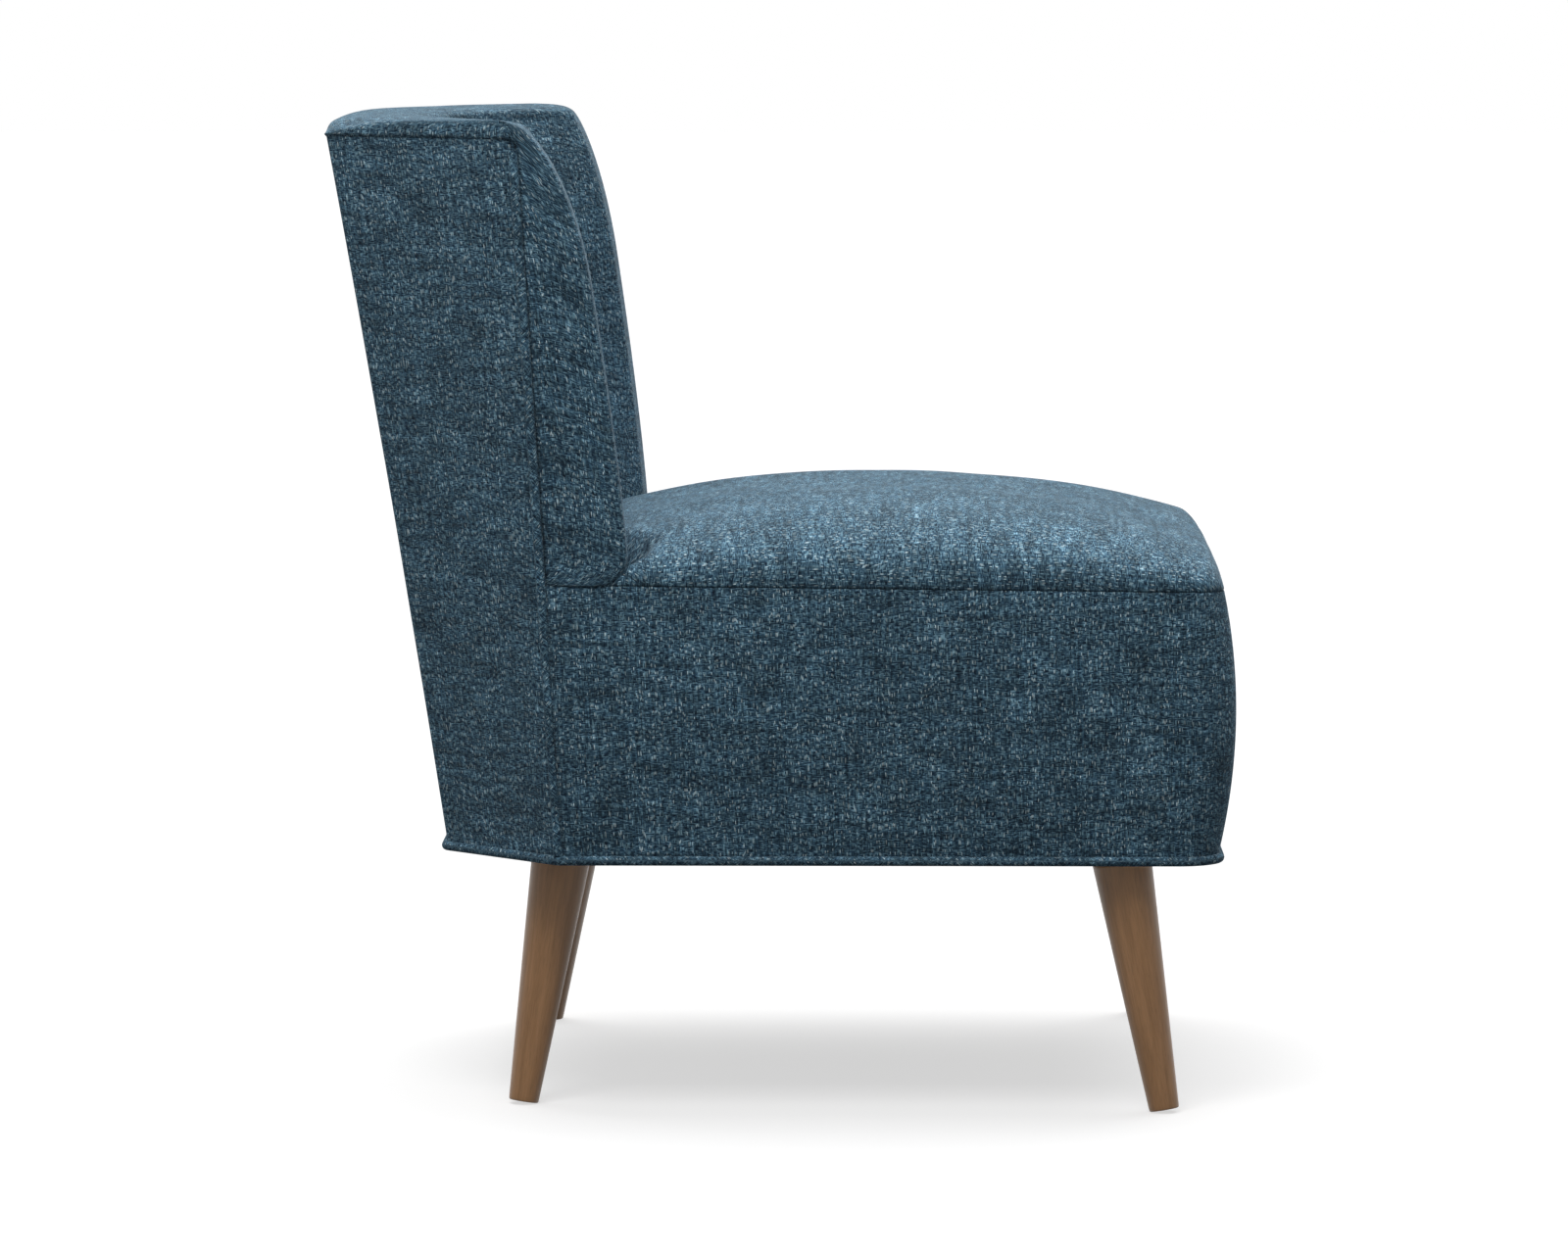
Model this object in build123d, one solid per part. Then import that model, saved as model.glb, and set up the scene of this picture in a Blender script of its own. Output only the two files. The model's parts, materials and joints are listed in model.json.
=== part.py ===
from build123d import *
import math
import os

# Armless barrel-back lounge chair, in millimetres.
# It stands on z = 0 and faces -Y. Its mirror plane is x = 0, and left is the sitter's left, +X.

# Overall sizes
overall_width = 635.0
overall_depth = 760.0
overall_height = 825.0

# Seat form
base_height = 209.0
seat_seam_height = 437.0
front_seam_rise = 29.0
crown_rise = 72.0
crown_setback = 308.0
crown_back_fall = 21.0
crown_back_run = 190.0
crown_roll_run = 94.0
crown_roll_start = 0.24
side_bulge = 5.0
front_bulge = 12.0
front_corner_radius = 35.0

# Back form
rear_rake = 9.45
rear_width = 419.0
seam_setback = 160.0
seam_lean = 37.0
back_foot_depth = 180.0
wing_reach = 73.0
wing_sweep = 48.0
wing_sweep_power = 1.3
wing_edge_inset = 57.0
wing_shoulder_inset = 4.0
wing_shoulder_share = 0.3
wing_corner_drop = 95.0
wing_corner_run = 47.0
wing_top_setback = 20.0
wing_edge_radius = 20.0
wing_edge_share = 0.8
back_thickness = 74.0
roll_radius = 17.0
roll_turn = 75.0
roll_hem = 1.0

# Covers, boards and clearances
cover_thickness = 2.0
board_thickness = 2.5
board_clearance = 0.8
fit = 0.3
welt_radius = 4.0
welt_top_drop = 8.0
welt_sink = 1.0
welt_corner_radius = 12.0
dust_cover_thickness = 1.0
dust_cover_inset = 14.0

# Frame timber
timber = 28.0
rail_setback = 10.0
rail_depth = 104.5
rail_lift = 4.5
base_rail_depth = 86.0
deck_rail_depth = 60.0
deck_overlap = 32.0
lumbar_rail_depth = 60.0
post_width = 34.0
post_setback = 14.0
top_plate_thickness = 18.0
top_plate_drop = 13.0
corner_block_height = 50.0
front_block_leg = 110.0
rear_block_leg = 120.0

# Webbing and padding
strap_width = 50.0
strap_thickness = 1.5
seat_strap_count = 4
seat_strap_pitch = 105.0
cross_strap_count = 4
cross_strap_pitch = 105.0
cross_strap_first = 80.0
rear_strap_count = 3
rear_strap_pitch = 100.0
felt_thickness = 5.0

# Legs
leg_top_radius = 25.0
leg_foot_radius = 12.5
front_leg_inset = 45.5
front_leg_setback = 84.0
front_leg_splay = (22.0, -36.0)
rear_leg_inset = 86.5
rear_leg_setback = 48.0
rear_leg_splay = (22.0, 32.0)
plate_width = 60.0
plate_thickness = 2.5
plate_corner_radius = 8.0
bolt_radius = 4.0
bolt_in_leg = 32.0
bolt_in_block = 34.0

# Sizes worked out from the ones above
seam_half = overall_width / 2 - side_bulge
rear_half = rear_width / 2
front_seam_y = front_bulge - overall_depth / 2
panel_top = overall_height - roll_radius * math.sin(math.radians(roll_turn))
roll_foot = panel_top - roll_hem
cover_top = roll_foot - fit
seam_top_y = overall_depth / 2 - seam_setback
seat_middle_y = overall_depth / 2 - back_foot_depth
top_middle_y = overall_depth / 2 - back_thickness
seat_rear_y = seat_middle_y + deck_overlap
back_foot = seat_seam_height + fit
panel_foot = base_height + 2 * welt_radius + fit
rail_bottom = base_height + rail_lift
rail_top = rail_bottom + rail_depth
rail_half = seam_half - rail_setback
rail_front_y = front_seam_y + rail_setback
rail_inner_half = rail_half - timber
rail_inner_y = rail_front_y + timber
frame_top = panel_top - top_plate_drop
post_top = frame_top - top_plate_thickness - fit
board_inset = cover_thickness + board_clearance
timber_inset = board_inset + board_thickness + fit
strap_inset = timber_inset + timber + fit
foam_inset = strap_inset + strap_thickness + fit
strap_floor = rail_top + fit
cross_strap_floor = strap_floor + strap_thickness + fit
felt_floor = cross_strap_floor + strap_thickness + fit
foam_floor = felt_floor + felt_thickness + fit
dust_cover_floor = rail_bottom - fit - dust_cover_thickness
plate_floor = dust_cover_floor - fit - plate_thickness
leg_top = plate_floor - fit
front_leg_top = Vector(seam_half - front_leg_inset, front_seam_y + front_leg_setback, leg_top)
front_leg_foot = Vector(front_leg_top.X + front_leg_splay[0], front_leg_top.Y + front_leg_splay[1])
rear_leg_top = Vector(seam_half - rear_leg_inset, seat_rear_y - rear_leg_setback, leg_top)
rear_leg_foot = Vector(rear_leg_top.X + rear_leg_splay[0], rear_leg_top.Y + rear_leg_splay[1])
lumbar_foot = seat_seam_height + fit
lumbar_top = lumbar_foot + lumbar_rail_depth
outside = 40.0
standing = (Align.CENTER, Align.CENTER, Align.MIN)


def save(name, shape):
    """Writes the solids of one named piece."""
    solids = shape.solids()
    export_step(solids[0] if len(solids) == 1 else Compound(solids), f"parts/{name}.step")


def save_pair(name, shape):
    """Writes a left-hand piece and its mirror image on the right."""
    save(f"left_{name}", shape)
    save(f"right_{name}", mirror(shape, about=Plane.YZ))


def block(x, y, z):
    """A box from three (low, high) ranges."""
    size = [high - low for low, high in (x, y, z)]
    middle = [(high + low) / 2 for low, high in (x, y, z)]
    return Pos(*middle) * Box(*size)


def flip(points):
    """The mirror image of a run of plan points, in reverse order."""
    return [Vector(-p.X, p.Y) for p in reversed(points)]


def loft_plan(outline, low, high):
    """A solid with straight edges up the chair, whose plan at a height is outline(height)."""
    foot, top = outline(base_height), outline(panel_top)
    rings = []
    for z in (low, high):
        share = (z - base_height) / (panel_top - base_height)
        rings.append([a + (b - a) * share + Vector(0, 0, z) for a, b in zip(foot, top)])
    return Solid.make_loft([Wire.make_polygon(ring) for ring in rings], ruled=True)


def shifted(start, stop, distance):
    """The line from start to stop, moved to its right."""
    run = (stop - start).normalized()
    step = Vector(run.Y, -run.X) * distance
    return start + step, stop + step


def meet(first, second):
    """Where two plan lines cross."""
    run = first[1] - first[0]
    other = second[1] - second[0]
    gap = second[0] - first[0]
    share = (gap.X * other.Y - gap.Y * other.X) / (run.X * other.Y - run.Y * other.X)
    return first[0] + run * share


# Outer faces of the back: a raked rear face and a flat side face from each seam to the rear corner
def seam_y(z):
    return seam_top_y - seam_lean * (panel_top - z) / (panel_top - base_height)


def rear_y(z):
    return overall_depth / 2 - (panel_top - z) * math.tan(math.radians(rear_rake))


def side_ends(z):
    return Vector(seam_half, seam_y(z)), Vector(rear_half, rear_y(z))


def side_line(z, inset):
    """A point under the seam and the direction to the rear corner, in from the side face."""
    seam, corner = side_ends(z)
    run = (corner - seam).normalized()
    return seam + Vector(-run.Y, run.X) * inset, run


def corner_point(z, inset):
    """The rear corner, in from the side and rear faces."""
    start, run = side_line(z, inset)
    return start + run * ((rear_y(z) - inset - start.Y) / run.Y)


def side_length():
    """Seam to rear corner at the foot of the side face, which is where distances along it are taken."""
    seam, corner = side_ends(base_height)
    return (corner - seam).length


def side_point(z, along, inset):
    """A point of the side face, a distance back from the seam and in from the face."""
    start, run = side_line(z, inset)
    return start + (corner_point(z, inset) - start) * (along / side_length())


def wrap(z, start, outer, inner):
    """Plan of a band round the sides and rear, from outer to inner inset."""
    outward = [side_point(z, start, outer), corner_point(z, outer)]
    inward = [side_point(z, start, inner), corner_point(z, inner)]
    return outward + flip(outward) + list(reversed(inward + flip(inward)))


def side_panel(z, start, stop, outer, inner):
    """Plan of a band on the left side face, or up to its rear corner where stop is None."""
    if stop is None:
        back = [corner_point(z, outer), corner_point(z, inner)]
    else:
        back = [side_point(z, stop, outer), side_point(z, stop, inner)]
    return [side_point(z, start, outer), *back, side_point(z, start, inner)]


def rear_panel(z, outer, inner):
    """Plan of a band along the rear face, mitred at both corners."""
    end = [corner_point(z, inner), corner_point(z, outer)]
    return end + flip(end)


def rear_rail(z, outer, inner):
    """Plan of a rail along the rear face, between the rear posts."""
    end = rear_half - post_width - fit
    return [Vector(x, rear_y(z) - inset) for x, inset in
            ((end, outer), (-end, outer), (-end, inner), (end, inner))]


def rear_post(z):
    """Plan of the left rear post, which turns the rear corner."""
    back = side_length() - post_width
    end = rear_half - post_width
    inner = timber_inset + timber
    return [side_point(z, back, timber_inset), corner_point(z, timber_inset),
            Vector(end, rear_y(z) - timber_inset), Vector(end, rear_y(z) - inner),
            corner_point(z, inner), side_point(z, back, inner)]


def frame_pocket(low, high, inner):
    """The room that covers, boards, frame and webbing take round the sides and rear."""
    return loft_plan(lambda z: wrap(z, post_setback - fit, -outside, inner), low, high)


def hull(z, inset, half, front):
    """Plan of the whole chair at one height."""
    start, run = side_line(z, inset)
    side = start + run * ((half - start.X) / run.X)
    edge = [Vector(half, front), side, corner_point(z, inset)]
    return edge + flip(edge)


def inside(inset, low, high):
    """Everything between the side faces and in front of the rear face."""
    def outline(z):
        wide = side_point(z, -outside, inset)
        edge = [Vector(wide.X, -overall_depth), wide, side_point(z, 0, inset), corner_point(z, inset)]
        return edge + flip(edge)
    return loft_plan(outline, low, high)


# Form of the padded back: two wing ends joined by one inside arc
def back_points(z, inset, outer_inset):
    """Rear corner, seam, shoulder and rim left of the back's section, its middle and its rounding."""
    rise = (z - back_foot) / (panel_top - back_foot)
    above = max(0.0, 1 - (overall_height - z) / wing_corner_drop)
    retreat = wing_corner_run * (1 - math.sqrt(1 - above**2))
    seam = side_ends(z)[0]
    rim_y = seam_y(back_foot) - wing_reach + wing_sweep * max(rise, 0.0) ** wing_sweep_power + retreat
    rim = Vector(seam_half - wing_edge_inset, rim_y)
    shoulder = Vector(seam.X - wing_shoulder_inset, rim.Y + wing_shoulder_share * (seam.Y - rim.Y))
    middle_y = seat_middle_y + (top_middle_y - seat_middle_y) * rise
    radius, centre = inside_circle(rim, middle_y)

    face_line = shifted(corner_point(z, 0), seam, outer_inset)
    shoulder_line = shifted(seam, shoulder, inset)
    end_line = shifted(shoulder, rim, inset)
    run = (end_line[1] - end_line[0]).normalized()
    away = end_line[0] - centre
    half_b = away.dot(run)
    reach = -half_b - math.sqrt(half_b**2 - away.dot(away) + (radius + inset) ** 2)
    side = [corner_point(z, outer_inset), meet(face_line, shoulder_line), meet(shoulder_line, end_line),
            end_line[0] + run * reach]
    rounding = min(wing_edge_radius, (shoulder - seam).length * wing_edge_share)
    return side, Vector(0, middle_y + inset), rounding


def inside_circle(rim, middle_y):
    """Radius and centre of the inside back's arc, from rim to rim through the middle."""
    sag = middle_y - rim.Y
    radius = (rim.X**2 + sag**2) / (2 * sag)
    return radius, Vector(0, middle_y - radius)


def back_section(z, side, middle, rounding):
    """The back's section at one height, with its shoulders and rims rounded."""
    other = flip(side)
    section = make_face(Polyline(*other, *side) + ThreePointArc(side[-1], middle, other[0]))
    rounded = section.vertices().sort_by(Axis.Y)[:4]
    return Pos(0, 0, z) * fillet(rounded, rounding)


def roll_section(inset, turn):
    """A section of the top roll, which closes on the middle of the back's thickness as it turns over."""
    side, middle, rounding = back_points(panel_top, inset, inset)
    radius, centre = inside_circle(side[3], middle.Y)
    inner_corner = centre + (side[0] - centre).normalized() * radius
    wing_middle = (side[1] + side[3]) / 2 + side_line(panel_top, inset)[1] * wing_top_setback
    targets = [(side[0] + inner_corner) / 2, wing_middle, wing_middle, wing_middle]
    closing = 1 - math.cos(turn)
    side = [point + (target - point) * closing for point, target in zip(side, targets)]
    middle_y = middle.Y + (rear_y(panel_top) - inset - middle.Y) / 2 * closing
    height = panel_top + (roll_radius - inset) * math.sin(turn)
    return back_section(height, side, Vector(0, middle_y), rounding * (1 - closing))


def loft_sections(sections):
    return Solid.make_loft([section.face().outer_wire() for section in sections], ruled=True)


def back_body(inset, outer_inset, foot, top):
    """The padded back up to its roll, with its own inset at the side and rear faces."""
    levels = [back_foot + (panel_top - back_foot) * share for share in (0, 0.3, 0.6, 0.8, 0.9)] + [top]
    if foot < back_foot:
        levels.insert(0, foot)
    return loft_sections([back_section(z, *back_points(z, inset, outer_inset)) for z in levels])


def back_roll(inset, foot):
    """The roll along the top of the back, drawn in by inset, from foot up."""
    sections = [roll_section(inset, math.radians(roll_turn * share)) for share in (0, 0.4, 0.7, 1)]
    if foot < panel_top:
        sections.insert(0, back_section(foot, *back_points(foot, inset, inset)))
    return loft_sections(sections)


def back_form(inset, foot):
    """The whole padded back, drawn in by inset, from foot up to the top of its roll."""
    return back_body(inset, inset, foot, panel_top) + back_roll(inset, panel_top)


# Form of the tight seat: swelling border under a crowned top
def seat_walls(inset):
    """The seat's border, drawn in by inset."""
    sections = []
    for share in (0, 0.25, 0.5, 0.75, 1, 1.2, 1.4):
        z = base_height + share * (seat_seam_height - base_height)
        swell = 1 - (2 * share - 1) ** 2
        half = seam_half + side_bulge * swell - inset
        front = front_seam_y - front_bulge * swell + inset
        outline = Pos(0, (seat_rear_y + front) / 2) * Rectangle(2 * half, seat_rear_y - front)
        corners = outline.vertices().sort_by(Axis.Y)[:2]
        sections.append(Pos(0, 0, z) * fillet(corners, front_corner_radius - inset))
    return loft_sections(sections)


def crown_section(y, rise, drop):
    """Section under the crown at one place: a flat arch that rolls down to both side seams."""
    top = seat_seam_height + rise - drop
    fall = rise * crown_roll_start
    start_x = seam_half - crown_roll_run
    arch_radius = (start_x**2 + fall**2) / (2 * fall)
    start_slope = math.asin(start_x / arch_radius)
    chord_slope = math.atan2(rise - fall, crown_roll_run)
    bend = chord_slope - start_slope
    sagitta = math.hypot(crown_roll_run, rise - fall) / 2 * math.tan(bend / 2)
    middle_x = seam_half - crown_roll_run / 2 + sagitta * math.sin(chord_slope)
    middle_z = top - (rise + fall) / 2 + sagitta * math.cos(chord_slope)
    end_x = seam_half + outside
    end_z = top - rise - outside * math.tan(chord_slope + bend)
    edges = [ThreePointArc((start_x, y, top - fall), (0, y, top), (-start_x, y, top - fall))]
    for side in (1, -1):
        start = (side * start_x, y, top - fall)
        seam = (side * seam_half, y, top - rise)
        edges.append(ThreePointArc(start, (side * middle_x, y, middle_z), seam))
        edges.append(Line(seam, (side * end_x, y, end_z)))
        edges.append(Line((side * end_x, y, end_z), (side * end_x, y, base_height - outside)))
    edges.append(Line((end_x, y, base_height - outside), (-end_x, y, base_height - outside)))
    return Wire(edges)


def under_crown(drop):
    """Everything under the seat's crowned top, lowered by drop."""
    peak_y = crown_setback - overall_depth / 2
    front_run = peak_y - front_seam_y
    places = [front_seam_y - outside] + [peak_y - front_run * share for share in (1, 0.8, 0.55, 0.25)]
    places += [peak_y + crown_back_run * share for share in (0.25, 0.6, 1)] + [seat_rear_y + outside]
    wires = []
    for y in places:
        if y < peak_y:
            fall = (crown_rise - front_seam_rise) * ((y - peak_y) / front_run) ** 2
        else:
            fall = crown_back_fall * ((y - peak_y) / crown_back_run) ** 2
        wires.append(crown_section(y, max(crown_rise - fall, front_seam_rise / 2), drop))
    return Solid.make_loft(wires, ruled=True)


def front_zone(gap):
    """Everything in front of the wing seams, less a gap."""
    low, high = base_height - outside, overall_height
    front = -overall_depth
    profile = [(front, low), (seam_y(low) - gap, low), (seam_y(high) - gap, high), (front, high)]
    face = Plane.YZ * make_face(Polyline(*profile, close=True))
    return extrude(face, overall_width, both=True)


def make_base_frame():
    heights = (rail_bottom, rail_top)
    front = block((-rail_half, rail_half), (rail_front_y, rail_inner_y), heights)
    corners = front.edges().filter_by(Axis.Z).group_by(Axis.Y)[0]
    save("front_rail", fillet(corners, front_corner_radius - rail_setback))
    pocket = frame_pocket(base_height, seat_seam_height, timber_inset + timber + fit)
    deck_y = seat_rear_y - timber
    side = block((rail_inner_half, rail_half), (rail_inner_y, deck_y - fit), heights)
    trim = inside(timber_inset, base_height, seat_seam_height)
    save_pair("side_rail", side - pocket & trim)
    deck_low = rail_top - deck_rail_depth
    deck = block((-rail_half, rail_half), (deck_y, seat_rear_y), (deck_low, rail_top))
    save("deck_rail", deck & inside(timber_inset + timber + fit, base_height, seat_seam_height))

    inner = timber_inset + timber
    start = post_setback + post_width + fit
    rail_high = rail_bottom + base_rail_depth
    save_pair("base_rail", loft_plan(
        lambda z: side_panel(z, start, side_length() - post_width - fit, timber_inset, inner),
        rail_bottom, rail_high))
    save("back_base_rail", loft_plan(lambda z: rear_rail(z, timber_inset, inner), rail_bottom, rail_high))

    block_top = rail_bottom + corner_block_height
    for name, y, leg, bolt_path in (
        ("front_corner_block", rail_inner_y, front_block_leg, (front_leg_top, front_leg_foot)),
        ("rear_corner_block", deck_y - fit, -rear_block_leg, (rear_leg_top, rear_leg_foot)),
    ):
        x = rail_inner_half
        outline = Polyline((x, y), (x - abs(leg), y), (x, y + leg), close=True)
        body = Pos(0, 0, rail_bottom) * extrude(make_face(outline), block_top - rail_bottom)
        save_pair(name, body - pocket - hanger_bolt(*bolt_path, bolt_radius + fit))


def make_back_frame():
    inner = timber_inset + timber
    save_pair("wing_post", loft_plan(
        lambda z: side_panel(z, post_setback, post_setback + post_width, timber_inset, inner),
        rail_bottom, post_top))
    save_pair("rear_post", loft_plan(rear_post, rail_bottom, post_top))
    save("top_plate", loft_plan(lambda z: wrap(z, post_setback, timber_inset, inner),
                                post_top + fit, frame_top))
    start = post_setback + post_width + fit
    save_pair("lumbar_rail", loft_plan(
        lambda z: side_panel(z, start, side_length() - post_width - fit, timber_inset, inner),
        lumbar_foot, lumbar_top))
    save("back_lumbar_rail", loft_plan(lambda z: rear_rail(z, timber_inset, inner), lumbar_foot, lumbar_top))


def make_webbing():
    heights = (strap_floor, strap_floor + strap_thickness)
    for i in range(seat_strap_count):
        x = (i - (seat_strap_count - 1) / 2) * seat_strap_pitch
        save(f"seat_strap_{i + 1}", block((x - strap_width / 2, x + strap_width / 2),
                                          (rail_front_y, seat_rear_y), heights))
    heights = (cross_strap_floor, cross_strap_floor + strap_thickness)
    for i in range(cross_strap_count):
        y = rail_inner_y + cross_strap_first + i * cross_strap_pitch
        save(f"cross_strap_{i + 1}", block((-rail_half, rail_half),
                                           (y - strap_width / 2, y + strap_width / 2), heights))
    low, high = back_foot, frame_top
    inner = strap_inset + strap_thickness
    for i in range(rear_strap_count):
        x = (i - (rear_strap_count - 1) / 2) * rear_strap_pitch
        save(f"back_strap_{i + 1}", loft_plan(
            lambda z: [Vector(x + side * strap_width / 2, rear_y(z) - inset) for side, inset in
                       ((1, strap_inset), (-1, strap_inset), (-1, inner), (1, inner))], low, high))
    save_pair("wing_strap", loft_plan(
        lambda z: side_panel(z, (side_length() - strap_width) / 2, (side_length() + strap_width) / 2,
                             strap_inset, inner), low, high))


def make_padding():
    inset = cover_thickness + fit
    pocket = frame_pocket(base_height, frame_top + fit, foam_inset)
    walls = seat_walls(inset)
    trim = inside(inset, base_height, overall_height)
    felt = block((-rail_half, rail_half), (rail_front_y, seat_rear_y), (felt_floor, foam_floor - fit))
    felt_corners = felt.edges().filter_by(Axis.Z).group_by(Axis.Y)[0]
    save("seat_felt", fillet(felt_corners, front_corner_radius - rail_setback) - pocket & trim)
    above_felt = block((-overall_width, overall_width), (-overall_depth, overall_depth),
                       (foam_floor, overall_height))
    welts = wing_welt(welt_radius + fit)
    welts = [welts, mirror(welts, about=Plane.YZ)]
    foam = (walls & under_crown(inset) & above_felt & trim) - pocket - back_form(-fit, back_foot - fit)
    save("seat_foam", foam - welts)

    frame = block((-rail_half - fit, rail_half + fit), (rail_front_y - fit, overall_depth),
                  (base_height - outside, overall_height))
    frame_corners = frame.edges().filter_by(Axis.Z).group_by(Axis.Y)[0]
    frame = fillet(frame_corners, front_corner_radius - rail_setback + fit)
    below_foam = block((-overall_width, overall_width), (-overall_depth, overall_depth),
                       (panel_foot, foam_floor - fit))
    save("border_padding", ((walls & below_foam) - frame) & front_zone(welt_radius + fit) & trim)
    save("back_foam", back_form(inset, back_foot) - pocket - welts)


def wing_welt(radius):
    """The cord down the left wing seam."""
    low, high = panel_foot, panel_top - welt_top_drop
    foot = Vector(seam_half, seam_y(low), low)
    top = Vector(seam_half, seam_y(high), high)
    along = top - foot
    return Plane(origin=foot, z_dir=along) * Cylinder(radius, along.length, align=standing)


def make_covers():
    clear = wing_welt(welt_radius + fit)
    clear = [clear, mirror(clear, about=Plane.YZ)]
    start = welt_radius + fit
    save_pair("side_cover", loft_plan(lambda z: side_panel(z, start, None, 0, cover_thickness),
                                      panel_foot, cover_top))
    save("outside_back_cover", loft_plan(lambda z: rear_panel(z, 0, cover_thickness), panel_foot, cover_top))
    board_back = board_inset + board_thickness
    save_pair("side_board", loft_plan(lambda z: side_panel(z, post_setback, None, board_inset, board_back),
                                      panel_foot, frame_top))
    save("outside_back_board", loft_plan(lambda z: rear_panel(z, board_inset, board_back),
                                         panel_foot, frame_top))

    padding = back_body(cover_thickness, -cover_thickness, back_foot - outside, roll_foot)
    padding += back_roll(cover_thickness, roll_foot)
    save("inside_back_cover", back_form(0, back_foot) - padding - clear)

    above_welt = block((-overall_width, overall_width), (-overall_depth, overall_depth),
                       (panel_foot, overall_height))
    walls = seat_walls(0)
    border = (walls - seat_walls(cover_thickness)) & under_crown(cover_thickness + fit) & above_welt
    below_back = block((-overall_width, overall_width), (-overall_depth, overall_depth),
                       (base_height, seat_seam_height))
    in_front = block((-overall_width, overall_width), (-overall_depth, seam_y(back_foot) - wing_reach),
                     (base_height, overall_height))
    border = border & (below_back + in_front)
    save("seat_border_cover", border & front_zone(welt_radius + fit))
    top = walls & (under_crown(0) - under_crown(cover_thickness))
    trim = inside(0, base_height, overall_height)
    above_seam = block((-overall_width, overall_width), (-overall_depth, overall_depth),
                       (back_foot, overall_height))
    save("seat_top_cover", (top & above_seam & trim) - back_form(-fit, back_foot - outside) - clear)

    save_pair("wing_welt", wing_welt(welt_radius))
    z = base_height + welt_radius
    points = hull(z, welt_sink, seam_half - welt_sink, front_seam_y + welt_sink)
    radii = [front_corner_radius, welt_corner_radius, welt_corner_radius]
    path = FilletPolyline(*[Vector(p.X, p.Y, z) for p in points], radius=radii + radii[::-1], close=True)
    start_plane = Plane(origin=path @ 0, z_dir=path % 0)
    save("base_welt", sweep(start_plane * Circle(welt_radius), path=path))

    half = seam_half - dust_cover_inset
    front = front_seam_y + dust_cover_inset
    outline = make_face(Polyline(*hull(rail_bottom, dust_cover_inset, half, front), close=True))
    outline = fillet(outline.vertices().sort_by(Axis.Y)[:2], front_corner_radius - dust_cover_inset)
    sheet = Pos(0, 0, dust_cover_floor) * extrude(outline, dust_cover_thickness)
    holes = [hanger_bolt(*path, bolt_radius + fit) for path in
             ((front_leg_top, front_leg_foot), (rear_leg_top, rear_leg_foot))]
    save("dust_cover", sheet - holes - [mirror(hole, about=Plane.YZ) for hole in holes])


def hanger_bolt(top, foot, radius):
    """The bolt up the axis of a left-hand leg."""
    direction = (top - foot).normalized()
    start = top - direction * bolt_in_leg
    length = bolt_in_leg + bolt_in_block
    return Plane(origin=start, z_dir=direction) * Cylinder(radius, length, align=standing)


def make_legs():
    """Round tapered legs, cut level at the top and at the foot, with their plates and bolts."""
    bolts = []
    for name, top, foot in (("front", front_leg_top, front_leg_foot), ("rear", rear_leg_top, rear_leg_foot)):
        clear = hanger_bolt(top, foot, bolt_radius + fit)
        body = loft([Pos(*foot) * Circle(leg_foot_radius), Pos(*top) * Circle(leg_top_radius)], ruled=True)
        save_pair(f"{name}_leg", body - clear)
        plate = extrude(RectangleRounded(plate_width, plate_width, plate_corner_radius), plate_thickness)
        save_pair(f"{name}_leg_plate", Pos(top.X, top.Y, plate_floor) * plate - clear)
        bolts.append(hanger_bolt(top, foot, bolt_radius))
    bolts += [mirror(bolt, about=Plane.YZ) for bolt in bolts]
    save("hanger_bolts", Compound([bolt.solid() for bolt in bolts]))


os.makedirs("parts", exist_ok=True)
make_base_frame()
make_back_frame()
make_webbing()
make_padding()
make_covers()
make_legs()
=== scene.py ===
import json
import math

import bmesh
import bpy
import numpy as np
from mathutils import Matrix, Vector


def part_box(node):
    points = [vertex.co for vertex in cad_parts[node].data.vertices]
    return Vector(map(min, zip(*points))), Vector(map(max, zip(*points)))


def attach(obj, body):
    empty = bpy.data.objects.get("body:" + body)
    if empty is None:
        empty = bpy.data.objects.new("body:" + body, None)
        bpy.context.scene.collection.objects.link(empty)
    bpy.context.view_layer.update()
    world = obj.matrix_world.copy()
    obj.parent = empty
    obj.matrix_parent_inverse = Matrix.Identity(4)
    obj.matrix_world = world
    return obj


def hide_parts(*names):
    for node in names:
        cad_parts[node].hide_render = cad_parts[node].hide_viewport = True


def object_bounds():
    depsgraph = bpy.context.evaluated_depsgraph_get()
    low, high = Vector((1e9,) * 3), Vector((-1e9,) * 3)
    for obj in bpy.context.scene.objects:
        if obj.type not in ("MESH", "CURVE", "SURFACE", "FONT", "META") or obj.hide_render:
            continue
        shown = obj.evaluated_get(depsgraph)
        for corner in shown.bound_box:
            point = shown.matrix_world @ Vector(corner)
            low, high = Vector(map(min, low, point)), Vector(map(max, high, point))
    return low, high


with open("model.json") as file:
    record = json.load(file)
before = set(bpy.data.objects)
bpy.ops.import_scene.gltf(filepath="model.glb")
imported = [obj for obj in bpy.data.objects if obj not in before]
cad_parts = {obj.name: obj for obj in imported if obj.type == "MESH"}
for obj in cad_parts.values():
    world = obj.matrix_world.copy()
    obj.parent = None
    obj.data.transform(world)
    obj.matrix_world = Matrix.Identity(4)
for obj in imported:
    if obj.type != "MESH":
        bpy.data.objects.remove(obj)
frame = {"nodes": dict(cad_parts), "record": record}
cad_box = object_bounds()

# Upholstered barrel-back chair, dressed over its frame. Shapes are worked out in millimetres and turned
# to metres when a mesh is made. The chair faces -Y, and the side that the picture shows is -X.
MM = 0.001


def node_box(node):
    """A frame piece's lowest and highest corners, in millimetres."""
    low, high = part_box(node)
    return low / MM, high / MM


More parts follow.
